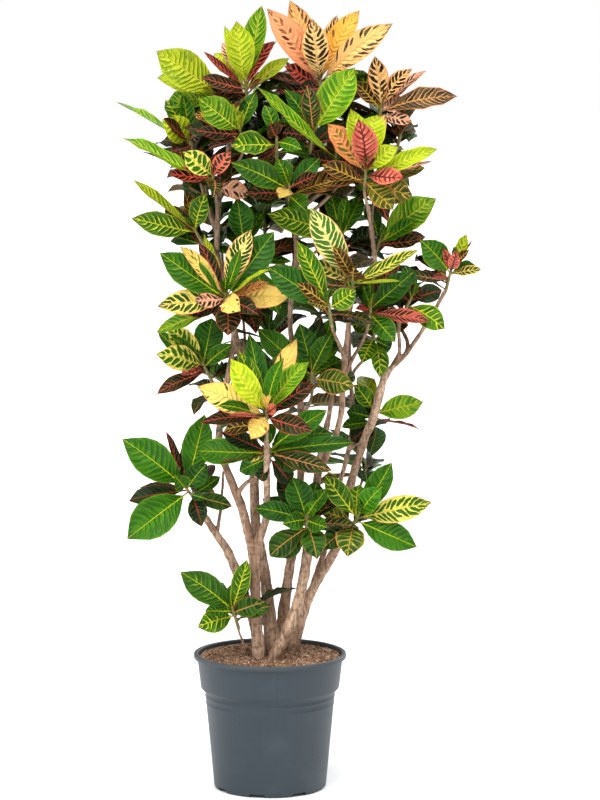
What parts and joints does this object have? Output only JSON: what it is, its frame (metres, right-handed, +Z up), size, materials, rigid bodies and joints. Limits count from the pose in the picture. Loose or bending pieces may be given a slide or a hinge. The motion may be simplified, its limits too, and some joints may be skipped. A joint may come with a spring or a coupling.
{
  "type": "potted croton",
  "caption": "Branching croton shrub with variegated leathery leaves in tiers on bare woody stems, rooted in soil in a tapered plastic nursery pot that stands on its flat base.",
  "frame": {"origin": "middle of the pot's flat base, on the surface that the plant stands on", "axes": "+Z up the plant, -Y towards the viewer of the best side, +X to that viewer's right"},
  "size_m": [0.735, 0.5489, 1.595],
  "materials": {
    "pot": "satin moulded slate-grey plastic with fine vertical drag marks",
    "soil": "coarse brown peat and bark crumbs, dry and matt",
    "bark": "smooth pale pinkish-tan bark with leaf scars, fine cracks and darker patches",
    "leaf_green": "glossy leathery green leaf with yellow ribs",
    "leaf_lime": "glossy yellow-green leaf with pale yellow veins",
    "leaf_gold": "satin golden leaf with green and coral patches",
    "leaf_dark": "glossy near-black green leaf with coral-red veins",
    "leaf_peach": "satin peach and orange leaf with blue-black patches between its veins",
    "leaf_coral": "satin coral-red leaf with darker veins"
  },
  "bodies": {
    "root": {"pot": "pot", "soil": "soil", "stem_front": "bark", "stem_tall": "bark", "stem_centre": "bark", "stem_pale": "bark", "stem_right": "bark", "stem_low": "bark", "stem_shoot": "bark", "tip_crown_left": "leaf_lime", "tip_upper_left": "leaf_lime", "tip_left_high": "leaf_lime", "tip_left_fan": "leaf_dark", "tip_left_mid": "leaf_green", "tip_mid_high": "leaf_lime", "tip_mid_crown": "leaf_dark", "tip_crown_mid": "leaf_green", "tip_crown_centre": "leaf_peach", "tip_crown_right": "leaf_peach", "tip_right_high": "leaf_coral", "tip_inner_high": "leaf_green", "tip_centre_high": "leaf_green", "tip_mid_upper": "leaf_green", "tip_right_upper": "leaf_green", "tip_centre": "leaf_green", "tip_centre_low": "leaf_green", "tip_right_mid": "leaf_green", "tip_far_right": "leaf_green", "tip_right_low": "leaf_green", "tip_left_front": "leaf_green", "tip_left_back": "leaf_green", "tip_left_low": "leaf_green", "tip_front": "leaf_gold", "tip_front_low": "leaf_green", "tip_mid_inner": "leaf_green", "tip_low_left": "leaf_green", "tip_lowest": "leaf_green", "tip_low_right": "leaf_green", "tip_low_mid": "leaf_green", "tip_right_side": "leaf_lime", "tip_mid_right": "leaf_green", "tip_inner_crown": "leaf_dark", "tip_inner_top_left": "leaf_dark", "tip_inner_top_right": "leaf_dark", "tip_inner_right": "leaf_green", "tip_inner_left": "leaf_dark", "tip_inner_middle": "leaf_green", "tip_inner_centre": "leaf_dark", "tip_inner_low": "leaf_green", "tip_back_top_left": "leaf_lime", "tip_back_top": "leaf_peach", "tip_back_high_right": "leaf_green", "tip_back_high": "leaf_green", "tip_back_high_left": "leaf_green", "tip_back_right": "leaf_green", "tip_back_centre": "leaf_gold", "tip_back_left": "leaf_green", "tip_back_low_left": "leaf_green", "tip_back_low": "leaf_coral", "tip_back_low_right": "leaf_green"}
  },
  "joints": []
}
